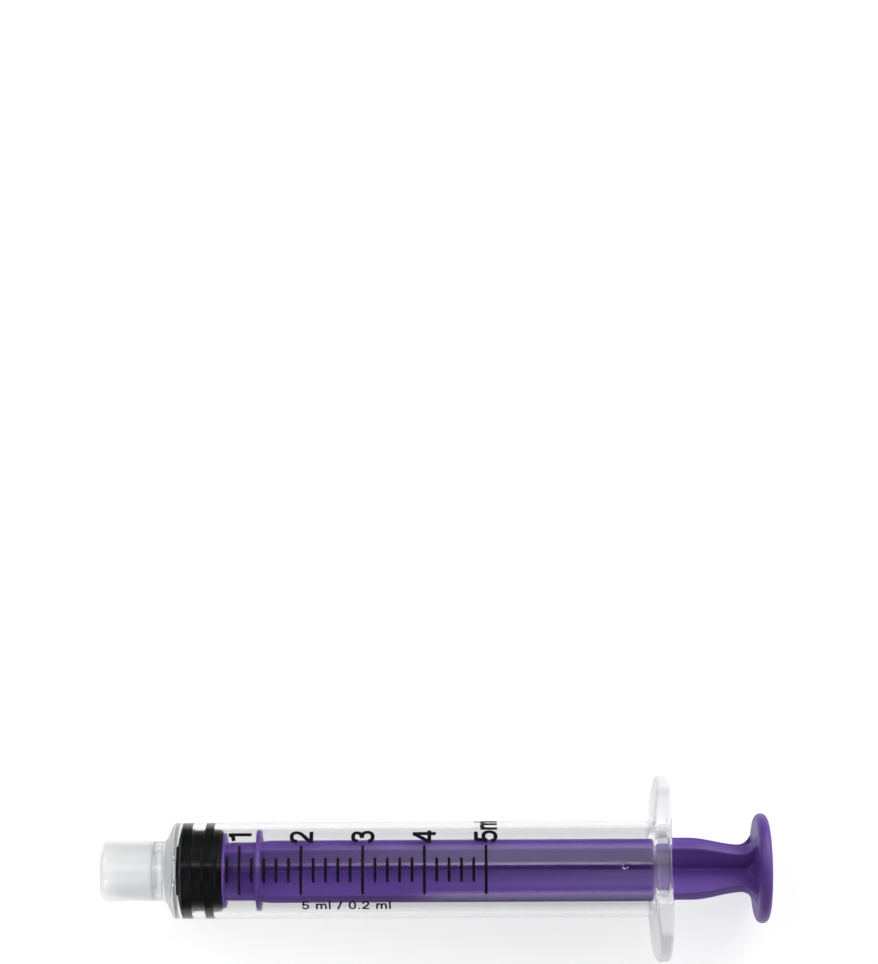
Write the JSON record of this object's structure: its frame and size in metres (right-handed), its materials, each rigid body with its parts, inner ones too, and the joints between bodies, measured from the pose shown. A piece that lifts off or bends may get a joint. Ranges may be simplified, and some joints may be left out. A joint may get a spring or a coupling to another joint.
{
  "type": "oral syringe",
  "caption": "Oral dosing syringe with a printed scale, a cruciform plunger with a rubber stopper, a finger flange and a push-on tip cap.",
  "frame": {"origin": "on the syringe's axis, at the mouth of the tip", "axes": "+X along the axis from the tip to the thumb press, +Y along a wing of the finger flange, +Z out of the flange's upper flat side"},
  "size_m": [0.096, 0.0264, 0.016],
  "materials": {
    "clear_plastic": "clear glossy polypropylene",
    "purple_plastic": "semi-gloss moulded polypropylene",
    "stopper_rubber": "smooth siliconed rubber",
    "frosted_plastic": "translucent natural polypropylene, slightly matt",
    "ink": "printed ink"
  },
  "bodies": {
    "barrel": {"barrel": "clear_plastic", "scale_major_lines": "ink", "scale_minor_lines": "ink", "scale_numerals": "ink", "scale_unit": "ink", "capacity_mark": "ink"},
    "stopper": {"stopper": "stopper_rubber"},
    "plunger": {"plunger_rod": "purple_plastic"},
    "cap": {"tip_cap": "frosted_plastic"}
  },
  "joints": [
    {"name": "plunger_slide", "type": "slide", "parent": "barrel", "child": "stopper", "axis": [1, 0, 0], "range_m": [0, 0.0512]},
    {"name": "rod_swivel", "type": "hinge", "parent": "stopper", "child": "plunger", "pos_m": [0.0125, 0, 0], "axis": [1, 0, 0], "continuous": true},
    {"name": "cap_slide", "type": "slide", "parent": "barrel", "child": "cap", "axis": [-1, 0, 0], "range_m": [0, 0.025]}
  ]
}
